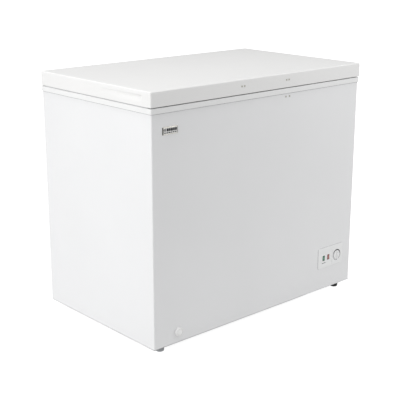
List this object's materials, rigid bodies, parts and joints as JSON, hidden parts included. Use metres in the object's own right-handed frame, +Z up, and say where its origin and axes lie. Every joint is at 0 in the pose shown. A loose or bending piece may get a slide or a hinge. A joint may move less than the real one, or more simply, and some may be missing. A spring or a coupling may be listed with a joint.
{
  "type": "chest freezer",
  "caption": "White chest freezer with a hinged foamed lid, step-floored storage tub, hanging basket, front dial and signal lamps, drain cap and low feet.",
  "frame": {"origin": "on the floor, under the middle of the whole outline, whose front is the dial's grip bar and whose rear is the hinge knuckles", "axes": "+Z up, +X to the freezer's right side seen from the front, +Y to the hinges at the rear, so the front faces -Y"},
  "size_m": [0.954, 0.604, 0.84],
  "materials": {
    "white_paint": "gloss",
    "white_plastic": "satin",
    "grey_plastic": "satin",
    "black_plastic": "satin",
    "galvanised_steel": "satin",
    "liner_aluminium": "satin",
    "chrome_trim": "polished",
    "copper_tube": "satin",
    "black_paint": "satin",
    "grey_rubber": "matte",
    "insulation_foam": "matte",
    "green_lens": "gloss",
    "red_lens": "gloss",
    "beige_plastic": "satin",
    "coated_wire": "satin"
  },
  "bodies": {
    "cabinet": {"cabinet_wrapper": "white_paint", "rear_panel": "galvanised_steel", "base_pan": "galvanised_steel", "compressor_base_plate": "galvanised_steel", "compartment_panel": "galvanised_steel", "cabinet_foam": "insulation_foam", "inner_liner": "liner_aluminium", "top_trim": "white_plastic", "evaporator_coil": "copper_tube", "condenser_coil": "copper_tube", "compressor": "black_paint", "compressor_terminal_cover": "black_plastic", "compressor_grommet_1": "grey_rubber", "compressor_grommet_2": "grey_rubber", "compressor_grommet_3": "grey_rubber", "compressor_grommet_4": "grey_rubber", "compressor_bolt_1": "galvanised_steel", "compressor_bolt_2": "galvanised_steel", "compressor_bolt_3": "galvanised_steel", "compressor_bolt_4": "galvanised_steel", "suction_line": "copper_tube", "discharge_line": "copper_tube", "filter_drier": "copper_tube", "capillary_tube": "copper_tube", "side_grille": "white_plastic", "rear_cover": "galvanised_steel", "cord_gland": "black_plastic", "foot_front_left": "grey_plastic", "foot_rear_left": "grey_plastic", "foot_front_right": "black_plastic", "foot_rear_right": "black_plastic", "control_fascia": "white_plastic", "lamp_green": "green_lens", "lamp_red": "red_lens", "thermostat_body": "galvanised_steel", "name_badge": "chrome_trim", "keeper_plug_1": "beige_plastic", "keeper_plug_2": "beige_plastic", "drain_tube": "white_plastic", "hinge_cabinet_leaf_left": "galvanised_steel", "hinge_cabinet_leaf_right": "galvanised_steel", "hinge_pin_left": "galvanised_steel", "hinge_pin_right": "galvanised_steel", "hinge_spring_left": "galvanised_steel", "hinge_spring_right": "galvanised_steel"},
    "lid": {"lid_outer": "white_paint", "lid_foam": "insulation_foam", "lid_inner": "white_plastic", "lid_gasket": "grey_rubber", "hinge_lid_leaf_left": "galvanised_steel", "hinge_lid_leaf_right": "galvanised_steel", "handle_plug_1": "beige_plastic", "handle_plug_2": "beige_plastic", "handle_plug_3": "beige_plastic", "handle_plug_4": "beige_plastic"},
    "dial": {"thermostat_knob": "white_plastic", "thermostat_shaft": "galvanised_steel"},
    "drain_cap": {"drain_cap": "white_plastic"},
    "drain_stopper": {"drain_stopper": "grey_plastic"},
    "basket": {"wire_basket": "coated_wire"}
  },
  "joints": [
    {"name": "lid_hinge", "type": "hinge", "parent": "cabinet", "child": "lid", "pos_m": [0, 0.295, 0.791], "axis": [-1, 0, 0], "range_deg": [0, 80], "stiffness_Nm_per_rad": 6, "springref_deg": 79.98},
    {"name": "dial_turn", "type": "hinge", "parent": "cabinet", "child": "dial", "pos_m": [0.395, -0.3, 0.1393], "axis": [0, 1, 0], "range_deg": [-165, 90]},
    {"name": "drain_cap_pull", "type": "slide", "parent": "cabinet", "child": "drain_cap", "axis": [0, -1, 0], "range_m": [0, 0.03]},
    {"name": "drain_stopper_lift", "type": "slide", "parent": "cabinet", "child": "drain_stopper", "axis": [0, 0, 1], "range_m": [0, 0.04]},
    {"name": "basket_slide", "type": "slide", "parent": "cabinet", "child": "basket", "axis": [-1, 0, 0], "range_m": [0, 0.585]}
  ]
}
